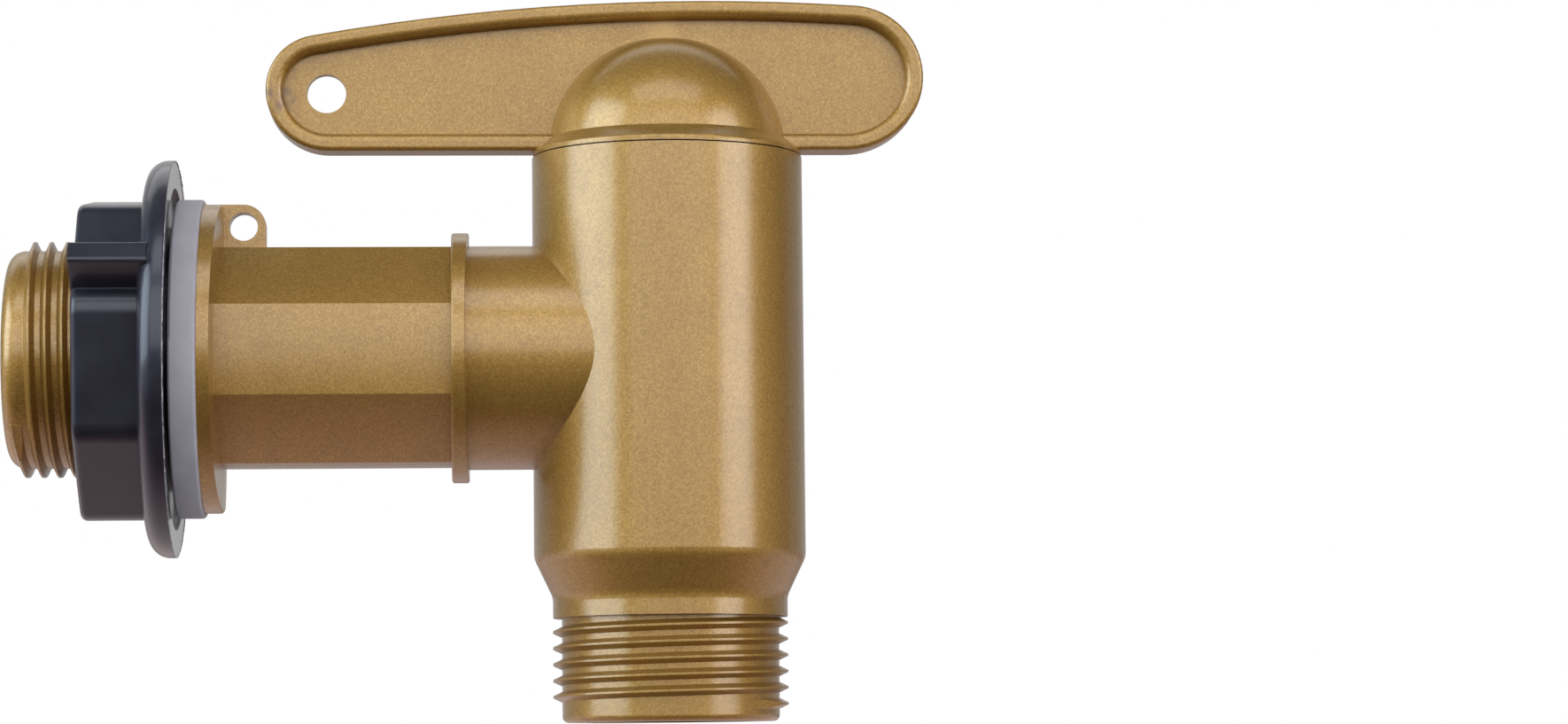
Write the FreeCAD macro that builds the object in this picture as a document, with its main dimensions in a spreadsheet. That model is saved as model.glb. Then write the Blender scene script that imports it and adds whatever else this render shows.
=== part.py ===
import FreeCAD, Part
import math
import os
import re

import Sketcher

# Water butt tap. Millimetres, +Z up. The origin is the centre of the flange's sealing face, the
# inlet runs along -X from it and the upright barrel stands at +X. Heights are measured from the
# inlet's axis; a size named drop is measured downwards from it.

SIZES = {
    # Both pipe threads: narrow ridges round a plain wall, and the depth to which they are rooted in it
    "thread_radius": 13.22,
    "root_radius": 12.2,
    "thread_pitch": 1.814,
    "ridge_foot": 1.2,
    "ridge_crest": 0.24,
    "ridge_depth": 0.3,
    "lead_step": 0.06,
    # Inlet, from the sealing face outwards through the wall of the butt, and where its thread begins
    "inlet_reach": 21.7,
    "inlet_lead": 1.65,
    "inlet_run_out": 1.2,
    "inlet_turn": 131.0,
    "inlet_round": 1.8,
    "inlet_bore": 9.4,
    # Wall flange, thinner at its rim and drafted to its front and back, and the eye that stands on it
    "flange_radius": 17.35,
    "flange_rim": 2.0,
    "flange_root": 2.15,
    "flange_draft": 0.78,
    "flange_round": 0.35,
    "eye_reach": 4.27,
    "eye_height": 14.85,
    "eye_radius": 2.5,
    "eye_hole": 1.6,
    "eye_thickness": 2.4,
    # Octagonal tube, collar and round neck
    "tube_apothem": 12.07,
    "collar_reach": 27.57,
    "collar_thickness": 1.97,
    "collar_radius": 14.1,
    "collar_draft": 0.5,
    "collar_round": 0.3,
    "neck_radius": 12.62,
    # Barrel, its shoulder and ring, and the threaded spout
    "barrel_offset": 52.0,
    "barrel_radius": 15.3,
    "barrel_top": 22.6,
    "shoulder_drop": 22.7,
    "shoulder_round": 2.4,
    "ring_radius": 13.2,
    "ring_top_drop": 27.1,
    "ring_drop": 29.4,
    "spout_drop": 41.1,
    "spout_lead": 1.75,
    "spout_run_out": 0.3,
    "spout_turn": 315.0,
    "spout_round": 0.7,
    "spout_bore": 9.5,
    # Valve chamber inside the barrel
    "chamber_radius": 12.6,
    "chamber_drop": 16.0,
    "chamber_lead": 0.5,
    "port_radius": 8.4,
    "port_wall": 9.4,
    # Snap bead that keeps the plug in the barrel
    "bead_height": 19.7,
    "bead_width": 1.4,
    "bead_rise": 0.4,
    "bead_clearance": 0.12,
    # Lever blade: a raised rim round a thinner web
    "lever_bottom": 23.3,
    "lever_top": 40.47,
    "long_reach": 45.25,
    "long_end_radius": 7.09,
    "long_corner": 6.21,
    "crown_offset": 5.14,
    "crown_drop": 4.96,
    "short_corner": 8.18,
    "short_end_radius": 9.1,
    "short_reach": 29.41,
    "rim_thickness": 4.8,
    "rim_width": 2.0,
    "rim_round": 0.5,
    "rim_inner_round": 0.9,
    "web_thickness": 1.5,
    "lever_hole": 2.2,
    "lever_hole_reach": 38.44,
    "lever_hole_height": 30.0,
    # Dome and skirt between the lever and the barrel
    "dome_radius": 13.4,
    "dome_round": 12.9,
    "dome_top": 36.3,
    "skirt_radius": 15.2,
    "skirt_lip": 0.55,
    "skirt_rise": 1.4,
    "skirt_round": 0.4,
    "skirt_gap": 0.15,
    # Hollow plug that turns in the chamber
    "plug_clearance": 0.08,
    "plug_drop": 15.4,
    "hollow_radius": 9.8,
    "hollow_step": 11.4,
    "upper_hollow": 7.8,
    "hollow_round": 6.0,
    "hollow_top": 32.6,
    # Rubber seals of the plug
    "seal_clearance": 0.03,
    "stem_seal_height": 15.4,
    "stem_seal_section": 1.0,
    "stem_groove_width": 2.3,
    "port_seal_inner": 8.9,
    "port_seal_width": 1.8,
    "port_seal_depth": 1.2,
    # Quarter-turn stop under the plug
    "stop_angle": 40.0,
    "stop_play": 3.0,
    "stop_height": 1.6,
    "stop_wall": 1.6,
    "stop_gap": 0.3,
    "quarter_turn": 90.0,
    # Flat rubber washer on the inlet
    "washer_radius": 17.9,
    "washer_thickness": 3.05,
    "washer_bore": 13.5,
    "washer_round": 0.35,
    # Back nut: an octagon with two grip lugs on a round flange
    "nut_gap": 0.24,
    "nut_length": 10.2,
    "nut_corner_radius": 19.0,
    "nut_corner_round": 3.0,
    "nut_phase": 31.0,
    "nut_end_round": 0.8,
    "nut_clearance": 0.08,
    "nut_flange_radius": 22.3,
    "nut_flange_thickness": 2.9,
    "nut_flange_round": 2.3,
    "nut_lead": 0.6,
    "recess_outer": 19.2,
    "recess_inner": 14.8,
    "recess_depth": 0.6,
    "lug_thickness": 2.8,
    "lug_offset": 3.8,
    "lug_reach": 22.0,
    "lug_round": 0.4,
}

OCTAGON = range(8)
SIDE_TURN = 45.0
HALF_SIDE_TURN = 22.5
FULL_TURN = 360.0
TOWARDS_INLET = -90.0
CUT_MARGIN = 5.0
SAME_PLACE = 0.0001
RIM_ROUND_SHARE = 0.35
INNER_ROUND_SHARE = 0.5

doc = FreeCAD.newDocument("water_butt_tap")
sheet = doc.addObject("Spreadsheet::Sheet", "sheet")
for row, (alias, size) in enumerate(SIZES.items(), start=1):
    sheet.set(f"A{row}", alias)
    sheet.set(f"B{row}", str(size))
    sheet.setAlias(f"B{row}", alias)
doc.recompute()


def formula(text):
    """The expression of a size written with the sheet's plain names."""
    return re.sub(r"[a-z_]+", lambda word: f"sheet.{word[0]}" if word[0] in SIZES else word[0], str(text))


def value(text):
    """The number that a size written with the sheet's plain names has now."""
    return float(sheet.evalExpression(formula(text)))


def bind(item, sizes):
    """Tie properties of an object to the sheet."""
    for name, text in sizes.items():
        item.setExpression(name, formula(text))
    return item


def sketch_on(body, name, role, **offset):
    """A sketch on one of the body's origin planes, moved by an offset in the plane's own axes."""
    sketch = body.newObject("Sketcher::SketchObject", name)
    plane = next(item for item in body.Origin.OriginFeatures if item.Role == role)
    sketch.AttachmentSupport = [(plane, "")]
    sketch.MapMode = "FlatFace"
    return bind(sketch, {f"AttachmentOffset.Base.{axis}": text for axis, text in offset.items()})


def hold(sketch, text, *constraint):
    """A dimension of a sketch, tied to the sheet."""
    index = sketch.addConstraint(Sketcher.Constraint(*constraint, value(text)))
    sketch.setExpression(f"Constraints[{index}]", formula(text))


def pin(sketch, geometry, point, x, y):
    """Hold a sketch point at a place measured from the sketch's origin."""
    hold(sketch, x, "DistanceX", -1, 1, geometry, point)
    hold(sketch, y, "DistanceY", -1, 1, geometry, point)


def rounded(before, corner, after, radius):
    """Where a round leaves and meets the sides of a corner, its arc, and whether it turns left."""
    back = (before - corner).normalize()
    ahead = (after - corner).normalize()
    half = back.getAngle(ahead) / 2
    start = corner + back * (radius / math.tan(half))
    end = corner + ahead * (radius / math.tan(half))
    centre = corner + (back + ahead).normalize() * (radius / math.sin(half))
    left = ahead.cross(back).z > 0
    first, last = (start, end) if left else (end, start)
    angles = [math.atan2(point.y - centre.y, point.x - centre.x) for point in (first, last)]
    circle = Part.Circle(centre, FreeCAD.Vector(0, 0, 1), radius)
    return start, end, Part.ArcOfCircle(circle, *angles), left


def outline(sketch, corners):
    """A closed outline of straight sides. A corner is (x, y), or (x, y, radius) where it is round."""
    places = [FreeCAD.Vector(value(corner[0]), value(corner[1]), 0) for corner in corners]
    count = len(corners)
    starts = list(places)
    ends = list(places)
    arcs = {}
    for i, corner in enumerate(corners):
        if len(corner) == 3:
            turn = rounded(places[i - 1], places[i], places[(i + 1) % count], value(corner[2]))
            ends[i], starts[i], arcs[i] = turn[0], turn[1], turn[2:]
    first = sketch.GeometryCount
    for i in range(count):
        sketch.addGeometry(Part.LineSegment(starts[i], ends[(i + 1) % count]), False)
    for i, corner in enumerate(corners):
        side = first + i
        before = first + (i - 1) % count
        if i not in arcs:
            sketch.addConstraint(Sketcher.Constraint("Coincident", before, 2, side, 1))
            pin(sketch, side, 1, corner[0], corner[1])
            continue
        shape, left = arcs[i]
        arc = sketch.addGeometry(shape, False)
        mark = sketch.addGeometry(Part.Point(places[i]), True)
        enter, leave = (1, 2) if left else (2, 1)
        sketch.addConstraint(Sketcher.Constraint("Tangent", before, 2, arc, enter))
        sketch.addConstraint(Sketcher.Constraint("Tangent", arc, leave, side, 1))
        sketch.addConstraint(Sketcher.Constraint("PointOnObject", mark, 1, before))
        sketch.addConstraint(Sketcher.Constraint("PointOnObject", mark, 1, side))
        hold(sketch, corner[2], "Radius", arc)
        pin(sketch, mark, 1, corner[0], corner[1])


def circle(sketch, x, y, radius):
    """A circle held at a place."""
    centre = FreeCAD.Vector(value(x), value(y), 0)
    ring = sketch.addGeometry(Part.Circle(centre, FreeCAD.Vector(0, 0, 1), value(radius)), False)
    hold(sketch, radius, "Radius", ring)
    pin(sketch, ring, 3, x, y)


def revolve(body, kind, name, sketch, axis):
    """A solid of revolution, added to the body or cut from it."""
    feature = body.newObject(f"PartDesign::{kind}", name)
    feature.Profile = sketch
    feature.ReferenceAxis = (sketch, [axis])
    feature.Angle = FULL_TURN
    sketch.Visibility = False
    return feature


def extrude(body, kind, name, sketch, length, **settings):
    """A straight pad or pocket."""
    feature = body.newObject(f"PartDesign::{kind}", name)
    feature.Profile = sketch
    for setting, choice in settings.items():
        setattr(feature, setting, choice)
    return bind(feature, {"Length": length})


def new_body(name):
    """An empty body whose label names its file."""
    body = doc.addObject("PartDesign::Body", f"{name}_body")
    body.Label = f"{name}_body"
    return body


def octagon_corners(radius, turn, *corner_round):
    """Corners of an octagon on the YZ plane, the first turned from +Z towards -Y."""
    turns = [f"({turn} + {SIDE_TURN * i})" for i in OCTAGON]
    return [(f"-({radius}) * sin{at}", f"({radius}) * cos{at}", *corner_round) for at in turns]


def ridge_sketch(body, name, axis, turn, corners, **offset):
    """A sketch turned about one of its axes, with corners given as (along the axis, out from it)."""
    sketch = sketch_on(body, name, "XZ_Plane", **offset)
    spin = FreeCAD.Vector(1, 0, 0) if axis == "H_Axis" else FreeCAD.Vector(0, 1, 0)
    sketch.AttachmentOffset = FreeCAD.Placement(FreeCAD.Vector(), FreeCAD.Rotation(spin, 1))
    bind(sketch, {"AttachmentOffset.Rotation.Angle": turn})
    outline(sketch, [corner if axis == "H_Axis" else corner[::-1] for corner in corners])
    return sketch


def thread(body, name, axis, turn, start, length, **offset):
    """A right-handed thread from a start along an axis; a flat cut slopes its first ridge up."""
    flank = "(ridge_foot - ridge_crest) / 2 / (thread_radius - root_radius)"
    foot = f"(ridge_foot / 2 + ridge_depth * {flank})"
    section = ridge_sketch(body, f"{name}_section", axis, turn, [
        (f"{start} - {foot}", "root_radius - ridge_depth"),
        (f"{start} + {foot}", "root_radius - ridge_depth"),
        (f"{start} + ridge_crest / 2", "thread_radius"),
        (f"{start} - ridge_crest / 2", "thread_radius"),
    ], **offset)
    ridge = body.newObject("PartDesign::AdditiveHelix", name)
    ridge.Profile = section
    ridge.ReferenceAxis = (section, [axis])
    bind(ridge, {"Pitch": "thread_pitch", "Height": length})
    section.Visibility = False

    lead = ridge_sketch(body, f"{name}_lead_section", axis, turn, [
        (f"{start} - thread_pitch / 2", "root_radius + lead_step"),
        (f"{start} + thread_pitch / 2", "root_radius + lead_step"),
        (f"{start} + thread_pitch / 2", f"thread_radius + {CUT_MARGIN}"),
        (f"{start} - thread_pitch / 2", f"thread_radius + {CUT_MARGIN}"),
    ], **offset)
    extrude(body, "Pocket", f"{name}_lead", lead, "2 * thread_radius", Midplane=True)


def tool(kind, name, sizes, **settings):
    """A primitive solid used to cut or build a shape."""
    solid = doc.addObject(f"Part::{kind}", name)
    for setting, choice in settings.items():
        setattr(solid, setting, choice)
    return bind(solid, sizes)


def combine(kind, name, base, other):
    """A boolean of two solids."""
    result = doc.addObject(f"Part::{kind}", name)
    result.Base = base
    result.Tool = other
    return result


def stop_sector(name, turn, angle, inner, outer, low, high):
    """A sector of a ring about the barrel's axis, centred on a turn from +X."""
    sizes = {
        "Angle": angle,
        "Height": f"({high}) - ({low})",
        "Placement.Base.x": "barrel_offset",
        "Placement.Base.z": low,
        "Placement.Rotation.Angle": f"({turn}) - ({angle}) / 2",
    }
    upright = FreeCAD.Rotation(FreeCAD.Vector(0, 0, 1), 1)
    placed = FreeCAD.Placement(FreeCAD.Vector(), upright)
    disc = tool("Cylinder", f"{name}_disc", {**sizes, "Radius": outer}, Placement=placed)
    core_sizes = {key: sizes[key] for key in ("Height", "Placement.Base.x", "Placement.Base.z")}
    core = tool("Cylinder", f"{name}_core", {**core_sizes, "Radius": inner})
    return combine("Cut", name, disc, core)


def saddle_ring(name, low, high):
    """A ring about the inlet's axis, bent round the plug's inlet side between two radii."""
    upright = {"Placement.Base.x": "barrel_offset", "Placement.Base.z": "-chamber_radius"}
    shell = combine(
        "Cut",
        f"{name}_shell",
        tool("Cylinder", f"{name}_outside", {**upright, "Radius": high, "Height": "2 * chamber_radius"}),
        tool("Cylinder", f"{name}_inside", {**upright, "Radius": low, "Height": "2 * chamber_radius"}),
    )
    along = FreeCAD.Placement(FreeCAD.Vector(), FreeCAD.Rotation(FreeCAD.Vector(0, 1, 0), TOWARDS_INLET))
    across = {"Placement.Base.x": "barrel_offset", "Height": "2 * chamber_radius"}
    outer = "port_seal_inner + port_seal_width"
    tube = combine(
        "Cut",
        f"{name}_tube",
        tool("Cylinder", f"{name}_rim", {**across, "Radius": outer}, Placement=along),
        tool("Cylinder", f"{name}_hole", {**across, "Radius": "port_seal_inner"}, Placement=along),
    )
    return combine("Common", name, shell, tube)


PLUG_RADIUS = "chamber_radius - plug_clearance"
CROWN_RADIUS = "((long_reach + crown_offset) ^ 2 + crown_drop ^ 2) / (2 * crown_drop)"
STOP_INNER = "chamber_radius - stop_wall"
STOP_TURN = 45.0


def mould_draft(body, name, face, radius, draft):
    """Slopes a round plate's end face back from the mould's split at Y = 0 to the plate's front and back."""
    section = sketch_on(body, f"{name}_draft_section", "XY_Plane")
    side = f"({radius} + {CUT_MARGIN})"
    edge = f"{face} - {draft} * {side} / {radius}"
    beyond = f"{face} + {CUT_MARGIN}"
    outline(section, [(face, "0"), (edge, f"-{side}"), (beyond, f"-{side}"), (beyond, side), (edge, side)])
    extrude(body, "Pocket", f"{name}_draft", section, f"2 * {side}", Midplane=True)


def tap_body():
    """Inlet, flange, eye, tube, collar, neck, barrel and spout, moulded in one piece."""
    body = new_body("tap_body")

    inlet = sketch_on(body, "inlet_profile", "XZ_Plane")
    outline(inlet, [
        ("-inlet_reach", "0"),
        ("-inlet_reach", "root_radius", "inlet_round"),
        ("0", "root_radius"),
        ("0", "flange_radius"),
        ("flange_rim", "flange_radius", "flange_round"),
        ("flange_root", "neck_radius"),
        ("flange_root", "0"),
    ])
    revolve(body, "Revolution", "inlet_and_flange", inlet, "H_Axis")
    mould_draft(body, "flange", "flange_root", "flange_radius", "flange_draft")

    tube = sketch_on(body, "tube_section", "YZ_Plane")
    outline(tube, octagon_corners(f"tube_apothem / cos({HALF_SIDE_TURN})", HALF_SIDE_TURN))
    extrude(body, "Pad", "octagonal_tube", tube, "collar_reach + collar_thickness")

    collar = sketch_on(body, "collar_profile", "XZ_Plane")
    collar_end = "collar_reach + collar_thickness"
    outline(collar, [
        ("collar_reach", "0"),
        ("collar_reach", "collar_radius", "collar_round"),
        (collar_end, "collar_radius", "collar_round"),
        (collar_end, "0"),
    ])
    revolve(body, "Revolution", "collar", collar, "H_Axis")
    mould_draft(body, "collar", collar_end, "collar_radius", "collar_draft")

    neck = sketch_on(body, "neck_profile", "XZ_Plane")
    outline(neck, [
        ("collar_reach", "0"),
        ("collar_reach", "neck_radius"),
        ("barrel_offset", "neck_radius"),
        ("barrel_offset", "0"),
    ])
    revolve(body, "Revolution", "neck", neck, "H_Axis")

    barrel = sketch_on(body, "barrel_profile", "XZ_Plane", x="barrel_offset")
    outline(barrel, [
        ("0", "barrel_top"),
        ("barrel_radius", "barrel_top"),
        ("barrel_radius", "-shoulder_drop", "shoulder_round"),
        ("ring_radius", "-ring_top_drop", "shoulder_round"),
        ("ring_radius", "-ring_drop"),
        ("root_radius", "-ring_drop"),
        ("root_radius", "-spout_drop", "spout_round"),
        ("0", "-spout_drop"),
    ])
    revolve(body, "Revolution", "barrel_and_spout", barrel, "V_Axis")

    eye = sketch_on(body, "eye_outline", "XZ_Plane")
    eye_end = "eye_reach + eye_radius"
    outline(eye, [
        ("0", "0"),
        (eye_end, "0"),
        (eye_end, "eye_height + eye_radius", "eye_radius"),
        ("0", "eye_height + eye_radius"),
    ])
    extrude(body, "Pad", "eye", eye, "eye_thickness", Midplane=True)

    eye_hole = sketch_on(body, "eye_hole_circle", "XZ_Plane")
    circle(eye_hole, "eye_reach", "eye_height", "eye_hole")
    extrude(body, "Pocket", "eye_hole_cut", eye_hole, f"eye_thickness + {CUT_MARGIN}", Midplane=True)

    chamber = sketch_on(body, "chamber_profile", "XZ_Plane", x="barrel_offset")
    groove = "chamber_radius + bead_rise + bead_clearance"
    groove_top = "bead_height + bead_width / 2 + bead_clearance"
    groove_low = "bead_height - bead_width / 2 - bead_clearance"
    outline(chamber, [
        ("0", "barrel_top"),
        ("chamber_radius + chamber_lead", "barrel_top"),
        ("chamber_radius", "barrel_top - chamber_lead"),
        ("chamber_radius", groove_top),
        (groove, f"{groove_top} - bead_rise"),
        (groove, f"{groove_low} + bead_rise"),
        ("chamber_radius", groove_low),
        ("chamber_radius", "-chamber_drop"),
        ("spout_bore", "-chamber_drop"),
        ("spout_bore", "-spout_drop"),
        ("0", "-spout_drop"),
    ])
    revolve(body, "Groove", "chamber_and_outlet", chamber, "V_Axis")

    bore = sketch_on(body, "inlet_bore_profile", "XZ_Plane")
    step = "barrel_offset - chamber_radius - port_wall"
    outline(bore, [
        ("-inlet_reach", "0"),
        ("-inlet_reach", "inlet_bore"),
        (step, "inlet_bore"),
        (step, "port_radius"),
        ("barrel_offset", "port_radius"),
        ("barrel_offset", "0"),
    ])
    revolve(body, "Groove", "inlet_passage", bore, "H_Axis")

    thread(body, "inlet_thread", "H_Axis", "inlet_turn", "inlet_lead - inlet_reach",
           "inlet_reach - inlet_lead - inlet_run_out")
    thread(body, "spout_thread", "V_Axis", "spout_turn", "spout_lead - spout_drop",
           "spout_drop - spout_lead - ring_drop - spout_run_out", x="barrel_offset")

    travel = "stop_angle + quarter_turn + 2 * stop_play"
    floor = "-chamber_drop - stop_height - stop_gap"
    recess = stop_sector("stop_recess", f"{STOP_TURN} + quarter_turn / 2", travel,
                         f"{STOP_INNER} - stop_gap", "chamber_radius", floor, "-chamber_drop + stop_gap")
    return combine("Cut", "tap_body", body, recess)


def blade_outline(sketch, inset):
    """The lever's edge moved in by an inset: a straight bottom, then arcs tangent to each other."""
    bottom = value(f"lever_bottom + {inset}")
    radii = [f"{radius} - ({inset})" for radius in
             ("short_end_radius", "short_corner", CROWN_RADIUS, "long_corner", "long_end_radius")]
    short_end, short_corner, crown, long_corner, long_end = (value(radius) for radius in radii)
    short_centre = FreeCAD.Vector(value("short_reach - short_end_radius"), bottom + short_end, 0)
    long_centre = FreeCAD.Vector(value("long_end_radius - long_reach"), bottom + long_end, 0)
    crown_height = f"lever_top - {CROWN_RADIUS}"
    crown_centre = FreeCAD.Vector(value("crown_offset"), value(crown_height), 0)

    def between(end, end_radius, radius, side):
        """Centre of the corner arc inside both an end arc and the crown."""
        axis = crown_centre - end
        near = end_radius - radius
        far = crown - radius
        along = (near ** 2 - far ** 2 + axis.Length ** 2) / (2 * axis.Length)
        across = side * math.sqrt(near ** 2 - along ** 2)
        axis.normalize()
        return end + axis * along + FreeCAD.Vector(-axis.y, axis.x, 0) * across

    short_corner_centre = between(short_centre, short_end, short_corner, 1)
    long_corner_centre = between(long_centre, long_end, long_corner, -1)
    centres = [short_centre, short_corner_centre, crown_centre, long_corner_centre, long_centre]
    sizes = [short_end, short_corner, crown, long_corner, long_end]
    steps = [short_corner_centre - short_centre, short_corner_centre - crown_centre,
             long_corner_centre - crown_centre, long_corner_centre - long_centre]
    turns = [-math.pi / 2] + [math.atan2(step.y, step.x) for step in steps] + [3 * math.pi / 2]

    start = FreeCAD.Vector(long_centre.x, bottom, 0)
    end = FreeCAD.Vector(short_centre.x, bottom, 0)
    line = sketch.addGeometry(Part.LineSegment(start, end), False)
    arcs = []
    for i, centre in enumerate(centres):
        ring = Part.Circle(centre, FreeCAD.Vector(0, 0, 1), sizes[i])
        arcs.append(sketch.addGeometry(Part.ArcOfCircle(ring, turns[i], turns[i + 1]), False))
        hold(sketch, radii[i], "Radius", arcs[i])
    sketch.addConstraint(Sketcher.Constraint("Horizontal", line))
    for first, second in zip([line] + arcs, arcs + [line]):
        sketch.addConstraint(Sketcher.Constraint("Tangent", first, 2, second, 1))
    hold(sketch, f"lever_bottom + {inset}", "DistanceY", -1, 1, line, 1)
    hold(sketch, "long_end_radius - long_reach", "DistanceX", -1, 1, arcs[4], 3)
    hold(sketch, "short_reach - short_end_radius", "DistanceX", -1, 1, arcs[0], 3)
    pin(sketch, arcs[2], 3, "crown_offset", crown_height)


def flat_edges(feature):
    """Names of the edges that lie on the two outer faces of a plate across Y."""
    shape = feature.Shape
    side = shape.BoundBox.YMax
    return [
        f"Edge{i}" for i, edge in enumerate(shape.Edges, start=1)
        if math.isclose(abs(edge.BoundBox.YMin), side, abs_tol=SAME_PLACE)
        and math.isclose(edge.BoundBox.YMin, edge.BoundBox.YMax, abs_tol=SAME_PLACE)
    ]


def recess_edges(feature):
    """Names of the edges where the rim's flat top drops into the recess, on both sides."""
    shape = feature.Shape
    side = shape.BoundBox.YMax
    flats = [face for face in shape.Faces if face.BoundBox.YLength < SAME_PLACE]
    rims = [face for face in flats if math.isclose(abs(face.BoundBox.YMax), side, abs_tol=SAME_PLACE)]
    inner = []
    for rim in rims:
        for wire in rim.Wires:
            if not wire.isSame(rim.OuterWire):
                inner += wire.Edges
    return [
        f"Edge{i}" for i, edge in enumerate(shape.Edges, start=1)
        if any(edge.isSame(other) for other in inner)
    ]


def lever_plug():
    """Lever blade, dome, skirt and hollow plug, moulded in one piece."""
    body = new_body("lever_plug")

    blade = sketch_on(body, "blade_outline", "XZ_Plane", x="barrel_offset")
    blade_outline(blade, "0")
    plate = extrude(body, "Pad", "blade", blade, "rim_thickness", Midplane=True)
    doc.recompute()

    soft_rim = body.newObject("PartDesign::Fillet", "soft_rim")
    soft_rim.Base = (plate, flat_edges(plate))
    bind(soft_rim, {"Radius": f"min(rim_round; {RIM_ROUND_SHARE} * rim_width)"})

    recess = sketch_on(body, "recess_outline", "XZ_Plane", x="barrel_offset", z="web_thickness / 2")
    blade_outline(recess, "rim_width")
    depth = f"rim_thickness / 2 - web_thickness / 2 + {CUT_MARGIN}"
    front = extrude(body, "Pocket", "front_recess", recess, depth, Reversed=True)
    doc.recompute()
    both = body.newObject("PartDesign::Mirrored", "both_recesses")
    both.Originals = [front]
    both.MirrorPlane = (next(item for item in body.Origin.OriginFeatures if item.Role == "XZ_Plane"), [""])
    body.Tip = both
    doc.recompute()
    soft_recess = body.newObject("PartDesign::Fillet", "soft_recess")
    soft_recess.Base = (both, recess_edges(both))
    bind(soft_recess, {"Radius": f"min(rim_inner_round; {INNER_ROUND_SHARE} * rim_width)"})

    stem = sketch_on(body, "stem_profile", "XZ_Plane", x="barrel_offset")
    seat = "barrel_top + skirt_gap"
    bead = f"{PLUG_RADIUS} + bead_rise"
    ring = "chamber_radius - seal_clearance - 2 * stem_seal_section - seal_clearance"
    outline(stem, [
        ("0", "dome_top"),
        ("dome_radius", "dome_top", "dome_round"),
        ("dome_radius", seat),
        (PLUG_RADIUS, seat),
        (PLUG_RADIUS, "bead_height + bead_width / 2"),
        (bead, "bead_height + bead_width / 2 - bead_rise"),
        (bead, "bead_height - bead_width / 2 + bead_rise"),
        (PLUG_RADIUS, "bead_height - bead_width / 2"),
        (PLUG_RADIUS, "stem_seal_height + stem_groove_width / 2"),
        (ring, "stem_seal_height + stem_groove_width / 2"),
        (ring, "stem_seal_height - stem_groove_width / 2"),
        (PLUG_RADIUS, "stem_seal_height - stem_groove_width / 2"),
        (PLUG_RADIUS, "-plug_drop"),
        ("0", "-plug_drop"),
    ])
    revolve(body, "Revolution", "dome_and_plug", stem, "V_Axis")

    skirt = sketch_on(body, "skirt_profile", "XZ_Plane", x="barrel_offset")
    lip = f"{seat} + skirt_lip"
    cone_top = f"{lip} + skirt_rise * (skirt_radius - ({PLUG_RADIUS})) / (skirt_radius - dome_radius)"
    outline(skirt, [
        ("0", seat),
        ("skirt_radius", seat),
        ("skirt_radius", lip, "skirt_round"),
        (PLUG_RADIUS, cone_top),
        ("0", cone_top),
    ])
    revolve(body, "Revolution", "skirt", skirt, "V_Axis")

    hollow = sketch_on(body, "hollow_profile", "XZ_Plane", x="barrel_offset")
    outline(hollow, [
        ("0", "-plug_drop"),
        ("hollow_radius", "-plug_drop"),
        ("hollow_radius", "hollow_step"),
        ("upper_hollow", "hollow_step + hollow_radius - upper_hollow"),
        ("upper_hollow", "hollow_top", "hollow_round"),
        ("0", "hollow_top"),
    ])
    revolve(body, "Groove", "plug_hollow", hollow, "V_Axis")

    window = sketch_on(body, "window_circle", "XZ_Plane", x="barrel_offset")
    circle(window, "0", "0", "port_radius")
    extrude(body, "Pocket", "window", window, f"chamber_radius + {CUT_MARGIN}")

    hole = sketch_on(body, "lever_hole_circle", "XZ_Plane", x="barrel_offset")
    circle(hole, "-lever_hole_reach", "lever_hole_height", "lever_hole")
    extrude(body, "Pocket", "lever_hole_cut", hole, f"rim_thickness + {CUT_MARGIN}", Midplane=True)

    stop = stop_sector("stop_tab", f"{STOP_TURN}", "stop_angle", STOP_INNER, PLUG_RADIUS,
                       "-chamber_drop - stop_height", "-plug_drop")
    with_stop = combine("Fuse", "plug_with_stop", body, stop)
    groove = saddle_ring("port_groove", f"{PLUG_RADIUS} - port_seal_depth", "chamber_radius + bead_rise")
    return combine("Cut", "lever_plug", with_stop, groove)


def stem_seal():
    """Rubber ring in the plug's upper groove."""
    ring = "chamber_radius - seal_clearance - stem_seal_section"
    sizes = {"Radius1": ring, "Radius2": "stem_seal_section",
             "Placement.Base.x": "barrel_offset", "Placement.Base.z": "stem_seal_height"}
    return tool("Torus", "stem_seal", sizes)


def port_seal():
    """Rubber ring on the plug's closed side, which shuts the inlet port."""
    return saddle_ring("port_seal", f"{PLUG_RADIUS} - port_seal_depth", "chamber_radius - seal_clearance")


def wall_washer():
    """Flat rubber ring between the flange and the wall."""
    body = new_body("wall_washer")
    profile = sketch_on(body, "washer_profile", "XZ_Plane")
    outline(profile, [
        ("-washer_thickness", "washer_bore"),
        ("-washer_thickness", "washer_radius", "washer_round"),
        ("0", "washer_radius", "washer_round"),
        ("0", "washer_bore"),
    ])
    revolve(body, "Revolution", "washer", profile, "H_Axis")
    return body


def end_edges(feature):
    """Names of the edges round the end face that looks along -X."""
    shape = feature.Shape
    return [
        f"Edge{i}" for i, edge in enumerate(shape.Edges, start=1)
        if math.isclose(edge.BoundBox.XMax, shape.BoundBox.XMin, abs_tol=SAME_PLACE)
    ]


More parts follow.
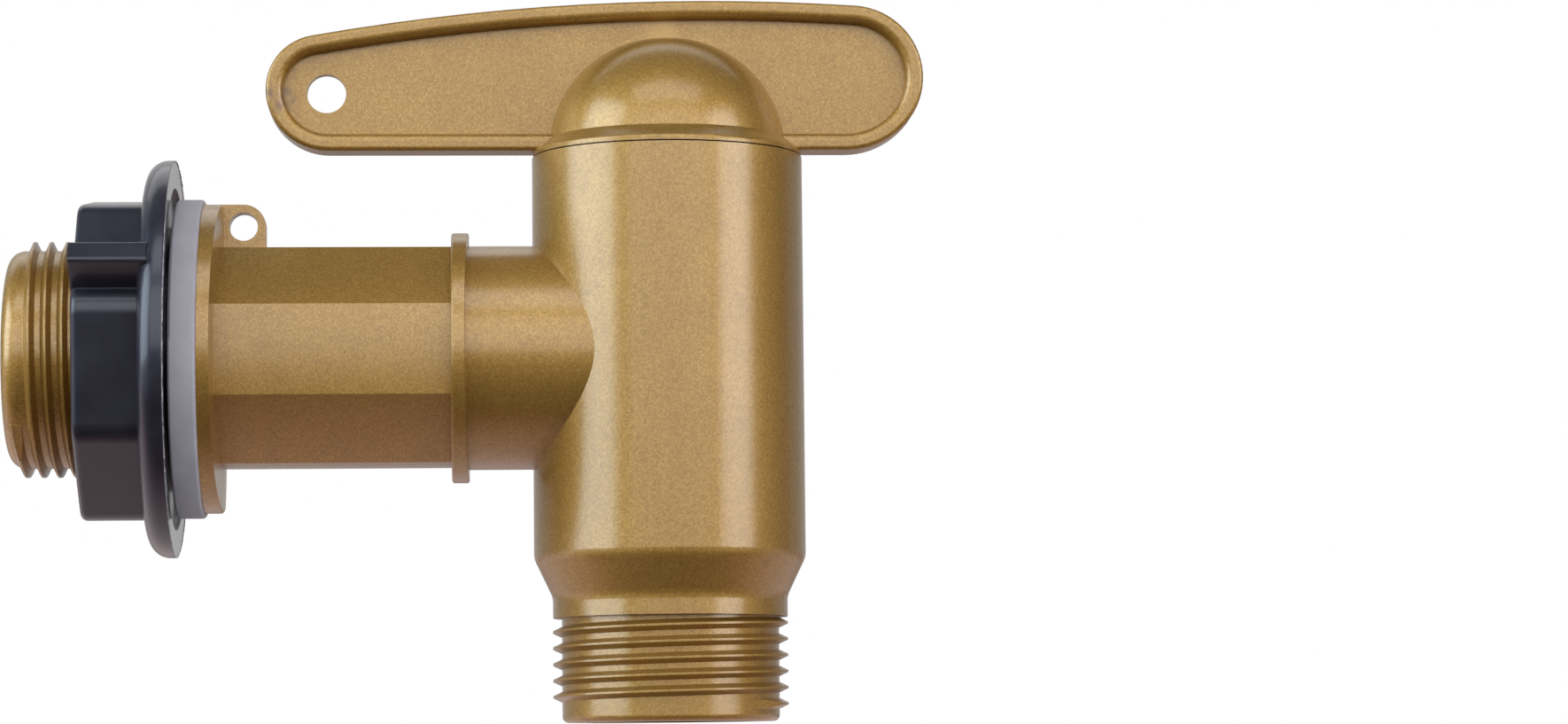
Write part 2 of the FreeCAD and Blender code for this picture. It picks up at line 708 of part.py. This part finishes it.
def back_nut():
    """Octagonal nut with a round flange and two grip lugs, screwed on the inlet."""
    body = new_body("back_nut")
    face = "-washer_thickness - nut_gap"
    end = f"{face} - nut_length"
    nut_bore = "thread_radius + nut_clearance"

    flange = sketch_on(body, "nut_flange_profile", "XZ_Plane")
    outline(flange, [
        (f"{face} - nut_flange_thickness", "0"),
        (f"{face} - nut_flange_thickness", "nut_flange_radius", "nut_flange_round"),
        (face, "nut_flange_radius"),
        (face, "recess_outer"),
        (f"{face} - recess_depth", "recess_outer"),
        (f"{face} - recess_depth", "recess_inner"),
        (face, "recess_inner"),
        (face, "0"),
    ])
    revolve(body, "Revolution", "nut_flange", flange, "H_Axis")

    grip = sketch_on(body, "octagon_section", "YZ_Plane", z=end)
    outline(grip, octagon_corners("nut_corner_radius", "nut_phase", "nut_corner_round"))
    grip_length = "nut_length - (nut_flange_thickness + recess_depth) / 2"
    grip_pad = extrude(body, "Pad", "octagon", grip, grip_length)
    doc.recompute()
    soft_end = body.newObject("PartDesign::Fillet", "soft_end")
    soft_end.Base = (grip_pad, end_edges(grip_pad))
    bind(soft_end, {"Radius": "nut_end_round"})
    doc.recompute()

    turn = f"(nut_phase + {HALF_SIDE_TURN})"

    def lug_corner(out, along, *corner_round):
        """A corner of the lug, out along the side's normal and along the side."""
        return (f"-({out}) * sin{turn} - ({along}) * cos{turn}",
                f"({out}) * cos{turn} - ({along}) * sin{turn}", *corner_round)

    lug_near = "lug_offset - lug_thickness / 2"
    lug_far = "lug_offset + lug_thickness / 2"
    lug = sketch_on(body, "lug_section", "YZ_Plane", z=end)
    outline(lug, [
        lug_corner("recess_inner", lug_far),
        lug_corner("lug_reach", lug_far, "lug_round"),
        lug_corner("lug_reach", lug_near, "lug_round"),
        lug_corner("recess_inner", lug_near),
    ])
    one_lug = extrude(body, "Pad", "lug", lug, grip_length)
    doc.recompute()
    lugs = body.newObject("PartDesign::PolarPattern", "lugs")
    lugs.Originals = [one_lug]
    lugs.Axis = (lug, ["N_Axis"])
    lugs.Angle = FULL_TURN
    lugs.Occurrences = 2
    body.Tip = lugs
    doc.recompute()

    bore = sketch_on(body, "nut_bore_profile", "XZ_Plane")
    outline(bore, [
        (end, "0"),
        (end, f"{nut_bore} + nut_lead"),
        (f"{end} + nut_lead", nut_bore),
        (f"{face} - nut_lead", nut_bore),
        (face, f"{nut_bore} + nut_lead"),
        (face, "0"),
    ])
    revolve(body, "Groove", "nut_bore", bore, "H_Axis")
    return body


PIECES = {
    "tap_body": tap_body,
    "lever_plug": lever_plug,
    "stem_seal": stem_seal,
    "port_seal": port_seal,
    "wall_washer": wall_washer,
    "back_nut": back_nut,
}

pieces = {}
for node, make in PIECES.items():
    pieces[node] = make()
    pieces[node].Label = node
doc.recompute()

for item in doc.Objects:
    if "Invalid" in item.State or "Error" in item.State:
        raise RuntimeError(f"{item.Name} failed: {item.State}")
for node, piece in pieces.items():
    if piece.Shape.isNull() or not piece.Shape.isValid():
        raise RuntimeError(f"{node} has no valid shape")

os.makedirs("parts", exist_ok=True)
for node, piece in pieces.items():
    piece.Shape.exportStep(f"parts/{node}.step")
    box = piece.Shape.BoundBox
    print(f"{node}: {len(piece.Shape.Solids)} solid, volume {piece.Shape.Volume:.1f} mm3, "
          f"{box.XLength:.2f} x {box.YLength:.2f} x {box.ZLength:.2f} mm")
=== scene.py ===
import math
import random

import bpy
from mathutils import Matrix, Vector

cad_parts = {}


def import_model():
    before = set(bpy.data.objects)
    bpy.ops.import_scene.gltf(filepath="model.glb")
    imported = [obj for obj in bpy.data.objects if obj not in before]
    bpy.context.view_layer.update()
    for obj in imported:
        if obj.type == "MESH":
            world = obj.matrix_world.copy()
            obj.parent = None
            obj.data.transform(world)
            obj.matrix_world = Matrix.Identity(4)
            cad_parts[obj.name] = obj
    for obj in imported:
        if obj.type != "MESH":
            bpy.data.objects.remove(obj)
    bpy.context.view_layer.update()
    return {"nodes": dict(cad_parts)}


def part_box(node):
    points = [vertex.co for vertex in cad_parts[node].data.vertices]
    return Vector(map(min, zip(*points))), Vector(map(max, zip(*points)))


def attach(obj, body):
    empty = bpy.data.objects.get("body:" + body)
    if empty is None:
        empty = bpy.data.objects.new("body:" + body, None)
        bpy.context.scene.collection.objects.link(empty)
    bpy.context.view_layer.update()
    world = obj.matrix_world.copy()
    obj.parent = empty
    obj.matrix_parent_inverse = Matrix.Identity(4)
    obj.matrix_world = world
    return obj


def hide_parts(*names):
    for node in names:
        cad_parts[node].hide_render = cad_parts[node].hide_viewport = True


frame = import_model()

# Metres, in the part's own frame: the inlet runs along -X, the barrel stands at +X, +Z is up.
MM = 0.001

# The octagonal tube: where its flats are, how far they seem to bulge, and what counts as one of them
TUBE_APOTHEM = 12.07 * MM
TUBE_START = 2.4 * MM
TUBE_END = 27.6 * MM
HALF_SIDE = TUBE_APOTHEM * math.tan(math.radians(22.5))
SIDE_BULGE = math.radians(5.0)
NEAR = 0.02 * MM
LEVEL = 0.01

# The mould's fin on the nut: its three edges lie this far inside the rim, its foot is sunk in the flange
FLASH_STEPS = 420
FLASH_SEED = 11
FLASH_HEIGHT = 0.24 * MM
FLASH_OUTER = 0.02 * MM
FLASH_CREST = 0.04 * MM
FLASH_INNER = 0.22 * MM
FLASH_FOOT = -0.05 * MM
FLASH_EDGES = 3

# Bronze plastic; a scale is in repeats to the metre, a mark is x, z, half width and half height
BRONZE = (0.375, 0.220, 0.045, 1.0)
BRONZE_DARK = (0.27, 0.143, 0.025, 1.0)
BRONZE_PALE = (0.52, 0.328, 0.084, 1.0)
GATE_STAIN = (0.20, 0.115, 0.05, 1.0)
FLAKE_SCALE = 5200.0
PATCH_SCALE = 160.0
MOTTLE_SCALE = 1100.0
BRONZE_GRAIN = 3200.0
GATE_MARK = (8.2 * MM, 29.4 * MM, 2.6 * MM, 2.3 * MM)
DOME_SMEAR = (51.6 * MM, 37.2 * MM, 2.3 * MM, 2.6 * MM)
SMEAR_SHARE = 0.5
LEVER_COAT = 0.85
BODY_COAT = 1.0

# Nut
NUT_COLOUR = (0.005, 0.005, 0.011, 1.0)
NUT_PALE = (0.016, 0.016, 0.027, 1.0)
NUT_TINT = (0.78, 0.82, 1.0, 1.0)
NUT_CLOUD = 220.0
NUT_GRAIN = 2600.0
TORN_DARK = (0.09, 0.09, 0.10, 1.0)
TORN_PALE = (0.40, 0.39, 0.41, 1.0)
TORN_CLOUD = 1500.0

# Rubber
SEAL_COLOUR = (0.012, 0.012, 0.013, 1.0)
SEAL_PALE = (0.025, 0.025, 0.027, 1.0)
WASHER_COLOUR = (0.30, 0.29, 0.33, 1.0)
WASHER_PALE = (0.38, 0.37, 0.42, 1.0)
RUBBER_CLOUD = 300.0
RUBBER_GRAIN = 2400.0

# Depth of the grain and softness of the edges
GRAIN_DEPTH = 0.02 * MM
BRONZE_EDGE = 0.1 * MM
NUT_EDGE = 0.3 * MM
EDGE_SAMPLES = 4

# Camera, fitted to the tap's outline in the photograph
CAMERA_PLACE = Vector((32.407, -489.31, -45.0)) * MM
CAMERA_YAW = math.radians(3.822)
CAMERA_PITCH = math.radians(5.175)
CAMERA_ROLL = math.radians(-0.597)
FOCAL_PIXELS = 4904.5
PHOTO_WIDTH = 1770.0
SENSOR_WIDTH = 36.0
CLIP_START = 0.01
CLIP_END = 20.0

# Set
TARGET = Vector((30.0, 0.0, 0.0)) * MM
WHITE = (1.0, 1.0, 1.0, 1.0)
PLAIN = (1.0, 1.0, 1.0)
COOL = (0.82, 0.93, 1.0)
ROOM = (0.08, 0.08, 0.08, 1.0)
WALL_COLOUR = (0.9, 0.9, 0.9, 1.0)
WALL_REACH = 1.6
WALL_BACK = 0.9
WALL_TOP = 2.0
FLOOR_COLOUR = (0.84, 0.84, 0.84, 1.0)
FLOOR_BOUNCE = (0.50, 0.50, 0.50, 1.0)
FLOOR_GLOW = (1.0, 0.84, 0.84, 1.0)
FLOOR_WARM_GLOW = (1.0, 0.55, 0.44, 1.0)
FLOOR_LEVEL = -80.0 * MM
FLOOR_REACH = 3.0


class Graph:
    """Builds one node material."""

    def __init__(self, name):
        self.material = bpy.data.materials.new(name)
        self.material.use_nodes = True
        self.tree = self.material.node_tree
        self.tree.nodes.clear()
        self.output = self.tree.nodes.new("ShaderNodeOutputMaterial")
        self.place = self.add("TexCoord").outputs["Object"]

    def add(self, kind, settings=None, **sockets):
        """A node; a socket's value is a number, a colour or another node's output."""
        made = self.tree.nodes.new(f"ShaderNode{kind}")
        for setting, choice in (settings or {}).items():
            setattr(made, setting, choice)
        for label, value in sockets.items():
            self.feed(made.inputs[label.replace("_", " ")], value)
        return made

    def feed(self, socket, value):
        """Link an output to a socket, or set its value."""
        if isinstance(value, bpy.types.NodeSocket):
            self.tree.links.new(value, socket)
        else:
            socket.default_value = value

    def noise(self, scale, detail):
        """Noise between about 0 and 1 over the object."""
        made = self.add("TexNoise", Vector=self.place, Scale=scale, Detail=detail, Roughness=0.55)
        return made.outputs["Fac"]

    def spread(self, value, low, high, from_low=0.0, from_high=1.0):
        """A value carried from one range to another, kept inside it."""
        made = self.add("MapRange", {"clamp": True}, Value=value)
        made.inputs["From Min"].default_value = from_low
        made.inputs["From Max"].default_value = from_high
        made.inputs["To Min"].default_value = low
        made.inputs["To Max"].default_value = high
        return made.outputs["Result"]

    def math(self, operation, *values):
        """An operation on one or two values."""
        made = self.add("Math", {"operation": operation})
        for socket, value in zip(made.inputs, values):
            self.feed(socket, value)
        return made.outputs["Value"]

    def spot(self, x, z, half_width, half_height):
        """1 within an oval on the part's front and back, fading to 0 at its edge."""
        moved = self.add("Mapping", Vector=self.place)
        moved.inputs["Scale"].default_value = (1.0 / half_width, 0.0, 1.0 / half_height)
        moved.inputs["Location"].default_value = (-x / half_width, 0.0, -z / half_height)
        far = self.add("VectorMath", {"operation": "LENGTH"})
        self.feed(far.inputs[0], moved.outputs["Vector"])
        return self.spread(far.outputs["Value"], 1.0, 0.0, 0.4, 1.0)

    def mix(self, share, first, second):
        """A blend of two colours."""
        return self.add("MixRGB", Fac=share, Color1=first, Color2=second).outputs["Color"]

    def grained(self, strength, height, edge_radius=None):
        """A normal with fine grain, and with softened edges where a radius is given."""
        bump = self.add("Bump", Strength=strength, Distance=GRAIN_DEPTH, Height=height)
        if edge_radius is not None:
            edge = self.add("Bevel", {"samples": EDGE_SAMPLES}, Radius=edge_radius)
            self.feed(bump.inputs["Normal"], edge.outputs["Normal"])
        return bump.outputs["Normal"]

    def surface(self, **sockets):
        """The surface shader, joined to the output."""
        made = self.add("BsdfPrincipled", **sockets)
        self.feed(self.output.inputs["Surface"], made.outputs["BSDF"])
        return self.material

    def either(self, share, matte, glow):
        """A matte surface that gives way to a glow by a share, joined to the output."""
        made = self.add("MixShader", Fac=share)
        self.feed(made.inputs[1], matte.outputs["BSDF"])
        self.feed(made.inputs[2], glow.outputs["Emission"])
        self.feed(self.output.inputs["Surface"], made.outputs["Shader"])
        return self.material


def bronze(name, lever=False):
    """Gold-bronze plastic with fine metal flake under a satin skin.

    The lever also has the stain of its mould's gate and a pale smear on its dome.
    """
    graph = Graph(name)
    flake = graph.add("TexVoronoi", Vector=graph.place, Scale=FLAKE_SCALE)
    speck = graph.add("SeparateColor", Color=flake.outputs["Color"])
    patch = graph.noise(PATCH_SCALE, 5.0)
    colour = graph.mix(graph.spread(speck.outputs["Red"], 0.0, 0.5), BRONZE, BRONZE_DARK)
    colour = graph.mix(graph.spread(speck.outputs["Green"], 0.0, 0.6, 0.4, 1.0), colour, BRONZE_PALE)
    colour = graph.mix(graph.spread(patch, 0.0, 0.2, 0.35, 0.75), colour, BRONZE_DARK)
    if lever:
        mottle = graph.spread(graph.noise(MOTTLE_SCALE, 4.0), 0.2, 1.0, 0.4, 0.6)
        colour = graph.mix(graph.math("MULTIPLY", graph.spot(*GATE_MARK), mottle), colour, GATE_STAIN)
        smear = graph.math("MULTIPLY", graph.spot(*DOME_SMEAR), SMEAR_SHARE)
        colour = graph.mix(smear, colour, BRONZE_PALE)
    height = graph.math("ADD", graph.noise(BRONZE_GRAIN, 2.0), speck.outputs["Blue"])
    uneven = graph.math("ADD", patch, speck.outputs["Red"])
    return graph.surface(
        Base_Color=colour,
        Metallic=0.9,
        Roughness=graph.spread(uneven, 0.52, 0.64, 0.3, 1.7),
        Normal=graph.grained(0.22, height, BRONZE_EDGE),
        Coat_Weight=LEVER_COAT if lever else BODY_COAT,
        Coat_Roughness=0.24,
        Coat_IOR=1.64,
    )


def charcoal():
    """Satin charcoal plastic, faintly clouded."""
    graph = Graph("nut_plastic")
    cloud = graph.noise(NUT_CLOUD, 6.0)
    normal = graph.grained(0.2, graph.noise(NUT_GRAIN, 3.0), NUT_EDGE)
    return graph.surface(
        Base_Color=graph.mix(graph.spread(cloud, 0.0, 0.5, 0.35, 0.8), NUT_COLOUR, NUT_PALE),
        Roughness=graph.spread(cloud, 0.36, 0.48, 0.3, 0.75),
        Normal=normal,
        IOR=1.58,
        Specular_Tint=NUT_TINT,
        Coat_Weight=1.0,
        Coat_Roughness=0.13,
        Coat_IOR=1.3,
        Coat_Normal=normal,
    )


def torn():
    """Charcoal plastic paled where it was torn."""
    graph = Graph("nut_torn_edge")
    cloud = graph.noise(TORN_CLOUD, 4.0)
    return graph.surface(
        Base_Color=graph.mix(graph.spread(cloud, 0.0, 1.0, 0.35, 0.65), TORN_DARK, TORN_PALE),
        Roughness=graph.spread(cloud, 0.5, 0.7, 0.35, 0.65),
    )


def rubber(name, colour, pale):
    """Matte rubber with a soft bloom."""
    graph = Graph(name)
    cloud = graph.noise(RUBBER_CLOUD, 5.0)
    return graph.surface(
        Base_Color=graph.mix(graph.spread(cloud, 0.0, 0.6, 0.35, 0.75), colour, pale),
        Roughness=graph.spread(cloud, 0.55, 0.70, 0.3, 0.75),
        Normal=graph.grained(0.3, graph.noise(RUBBER_GRAIN, 3.0)),
    )


def new_piece(name, mesh, material):
    """An object in the scene with one material."""
    piece = bpy.data.objects.new(name, mesh)
    bpy.context.scene.collection.objects.link(piece)
    mesh.materials.clear()
    mesh.materials.append(material)
    return piece


def tube_side(face):
    """The outward normal of a flat of the octagonal tube, or None for any other face."""
    if not TUBE_START < face.center.x < TUBE_END or abs(face.normal.x) > LEVEL:
        return None
    if abs(face.center.dot(face.normal) - TUBE_APOTHEM) > NEAR:
        return None
    return face.normal


def bulged_tap(material):
    """The tap's moulding, with its tube's flats shaded as the slightly rounded ones they are."""
    mesh = frame["nodes"]["tap_body"].data.copy()
    piece = new_piece("tap_moulding", mesh, material)
    normals = [corner.vector.copy() for corner in mesh.corner_normals]
    for face in mesh.polygons:
        side = tube_side(face)
        if side is None:
            continue
        along = Vector((1.0, 0.0, 0.0)).cross(side)
        for loop in face.loop_indices:
            share = mesh.vertices[mesh.loops[loop].vertex_index].co.dot(along) / HALF_SIDE
            turn = SIDE_BULGE * share
            normals[loop] = side * math.cos(turn) + along * math.sin(turn)
    mesh.normals_split_custom_set(normals)
    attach(piece, "tap")
    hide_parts("tap_body")


def nut_flash(material):
    """The ragged fin that the mould left along the outer edge of the nut's flange."""
    face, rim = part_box("back_nut")[1][:2]
    draw = random.Random(FLASH_SEED)
    corners = []
    for step in range(FLASH_STEPS):
        turn = 2.0 * math.pi * step / FLASH_STEPS
        swell = 0.55 + 0.3 * math.sin(2.0 * turn + 0.6) + 0.15 * math.sin(5.0 * turn)
        height = FLASH_HEIGHT * max(0.1, swell) * draw.uniform(0.35, 1.0)
        for inset, along in ((FLASH_OUTER, FLASH_FOOT), (FLASH_CREST, height), (FLASH_INNER, FLASH_FOOT)):
            radius = rim - inset
            corners.append((face + along, radius * math.cos(turn), radius * math.sin(turn)))
    faces = []
    for step in range(FLASH_STEPS):
        here = FLASH_EDGES * step
        there = FLASH_EDGES * ((step + 1) % FLASH_STEPS)
        for i in range(FLASH_EDGES):
            j = (i + 1) % FLASH_EDGES
            faces.append((here + j, here + i, there + i, there + j))
    mesh = bpy.data.meshes.new("nut_flash")
    mesh.from_pydata(corners, [], faces)
    piece = new_piece("nut_flash", mesh, material)
    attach(piece, "nut")


def camera():
    """The photograph's camera."""
    flat = math.cos(CAMERA_PITCH)
    right = Vector((math.cos(CAMERA_YAW), -math.sin(CAMERA_YAW), 0.0))
    ahead = Vector((math.sin(CAMERA_YAW) * flat, math.cos(CAMERA_YAW) * flat, math.sin(CAMERA_PITCH)))
    up = right.cross(ahead)
    rolled_right = right * math.cos(CAMERA_ROLL) + up * math.sin(CAMERA_ROLL)
    rolled_up = up * math.cos(CAMERA_ROLL) - right * math.sin(CAMERA_ROLL)
    data = bpy.data.cameras.new("camera")
    data.sensor_fit = "HORIZONTAL"
    data.sensor_width = SENSOR_WIDTH
    data.lens = SENSOR_WIDTH * FOCAL_PIXELS / PHOTO_WIDTH
    data.clip_start = CLIP_START
    data.clip_end = CLIP_END
    eye = bpy.data.objects.new("camera", data)
    bpy.context.scene.collection.objects.link(eye)
    place = Matrix((rolled_right, rolled_up, -ahead)).transposed().to_4x4()
    place.translation = CAMERA_PLACE
    eye.matrix_world = place
    bpy.context.scene.camera = eye


def softbox(name, azimuth, elevation, distance, width, height, glow, tint=PLAIN):
    """A soft panel of light aimed at the tap. Azimuth 0 is the camera's side and 90 the tap's right."""
    turn = math.radians(azimuth)
    lift = math.radians(elevation)
    way = Vector((math.sin(turn) * math.cos(lift), -math.cos(turn) * math.cos(lift), math.sin(lift)))
    data = bpy.data.lights.new(name, "AREA")
    data.shape = "RECTANGLE"
    data.size = width
    data.size_y = height
    data.energy = glow * math.pi * width * height
    data.color = tint
    lamp = bpy.data.objects.new(name, data)
    lamp.location = TARGET + way * distance
    lamp.rotation_euler = way.to_track_quat("Z", "Y").to_euler()
    lamp.visible_camera = False
    bpy.context.scene.collection.objects.link(lamp)


def sheet(name, corners, material):
    """A flat sheet of the set."""
    mesh = bpy.data.meshes.new(name)
    mesh.from_pydata(corners, [], [(0, 1, 2, 3)])
    new_piece(name, mesh, material)


def backdrop():
    """A matte wall behind the tap: white to the camera, and a softer white in reflections."""
    graph = Graph("backdrop")
    path = graph.add("LightPath").outputs
    aside = graph.math("ABSOLUTE", graph.add("SeparateXYZ", Vector=graph.place).outputs["X"])
    mirrored = graph.spread(aside, 0.55, 0.32, 0.2, 0.9)
    strength = graph.math("MAXIMUM", path["Is Camera Ray"], mirrored)
    seen = graph.math("MAXIMUM", path["Is Camera Ray"], path["Is Glossy Ray"])
    seen = graph.math("MAXIMUM", seen, path["Is Transmission Ray"])
    matte = graph.add("BsdfDiffuse", Color=WALL_COLOUR)
    glow = graph.add("Emission", Color=WHITE, Strength=strength)
    sheet("backdrop", [
        (-WALL_REACH, WALL_BACK, FLOOR_LEVEL),
        (WALL_REACH, WALL_BACK, FLOOR_LEVEL),
        (WALL_REACH, WALL_BACK, WALL_TOP),
        (-WALL_REACH, WALL_BACK, WALL_TOP),
    ], graph.either(seen, matte, glow))


def floor():
    """A pale floor below the tap, which hangs by its inlet.

    In reflections it glows instead: dim and warm before the tap, brightest just behind it and to its left.
    """
    graph = Graph("floor")
    path = graph.add("LightPath").outputs
    spot = graph.add("SeparateXYZ", Vector=graph.place).outputs
    before = graph.spread(spot["Y"], 0.08, 0.72, -0.05, 0.0)
    behind = graph.spread(spot["Y"], 1.0, 0.35, 0.10, 0.40)
    left = graph.spread(spot["X"], 1.38, 1.0, -0.14, -0.07)
    strength = graph.math("MULTIPLY", graph.math("MULTIPLY", before, behind), left)
    warmth = graph.spread(spot["Y"], 1.0, 0.0, -0.06, 0.03)
    matte = graph.add("BsdfDiffuse", Color=graph.mix(path["Is Camera Ray"], FLOOR_BOUNCE, FLOOR_COLOUR))
    glow = graph.add("Emission", Color=graph.mix(warmth, FLOOR_GLOW, FLOOR_WARM_GLOW), Strength=strength)
    sheet("floor", [
        (-FLOOR_REACH, -FLOOR_REACH, FLOOR_LEVEL),
        (FLOOR_REACH, -FLOOR_REACH, FLOOR_LEVEL),
        (FLOOR_REACH, FLOOR_REACH, FLOOR_LEVEL),
        (-FLOOR_REACH, FLOOR_REACH, FLOOR_LEVEL),
    ], graph.either(path["Is Glossy Ray"], matte, glow))


def world():
    """White where the camera looks past the set, and a dim grey room for everything else."""
    made = bpy.data.worlds.new("studio")
    made.use_nodes = True
    tree = made.node_tree
    tree.nodes.clear()
    output = tree.nodes.new("ShaderNodeOutputWorld")
    path = tree.nodes.new("ShaderNodeLightPath")
    both = tree.nodes.new("ShaderNodeMixShader")
    tree.links.new(path.outputs["Is Camera Ray"], both.inputs[0])
    for socket, colour in zip(both.inputs[1:], (ROOM, WHITE)):
        background = tree.nodes.new("ShaderNodeBackground")
        background.inputs["Color"].default_value = colour
        tree.links.new(background.outputs["Background"], socket)
    tree.links.new(both.outputs["Shader"], output.inputs["Surface"])
    bpy.context.scene.world = made


seal_rubber = rubber("seal_rubber", SEAL_COLOUR, SEAL_PALE)
finishes = {
    "lever_plug": bronze("bronze_lever", lever=True),
    "stem_seal": seal_rubber,
    "port_seal": seal_rubber,
    "wall_washer": rubber("washer_rubber", WASHER_COLOUR, WASHER_PALE),
    "back_nut": charcoal(),
}
bulged_tap(bronze("bronze_plastic"))
nut_flash(torn())
for name, finish in finishes.items():
    frame["nodes"][name].material_slots[0].material = finish

camera()
floor()
backdrop()
softbox("left_box", azimuth=-71.0, elevation=3.0, distance=2.4, width=2.04, height=3.7, glow=4.8, tint=COOL)
softbox("right_box", azimuth=57.0, elevation=4.0, distance=2.4, width=1.26, height=2.6, glow=4.5)
softbox("front_box", azimuth=0.0, elevation=20.0, distance=2.4, width=3.47, height=1.55, glow=1.97)
softbox("high_box", azimuth=0.0, elevation=57.0, distance=0.9, width=0.9, height=0.36, glow=2.4)
softbox("rear_box", azimuth=180.0, elevation=52.0, distance=0.8, width=1.2, height=0.4, glow=0.7)
world()
bpy.context.scene.view_settings.view_transform = "Standard"
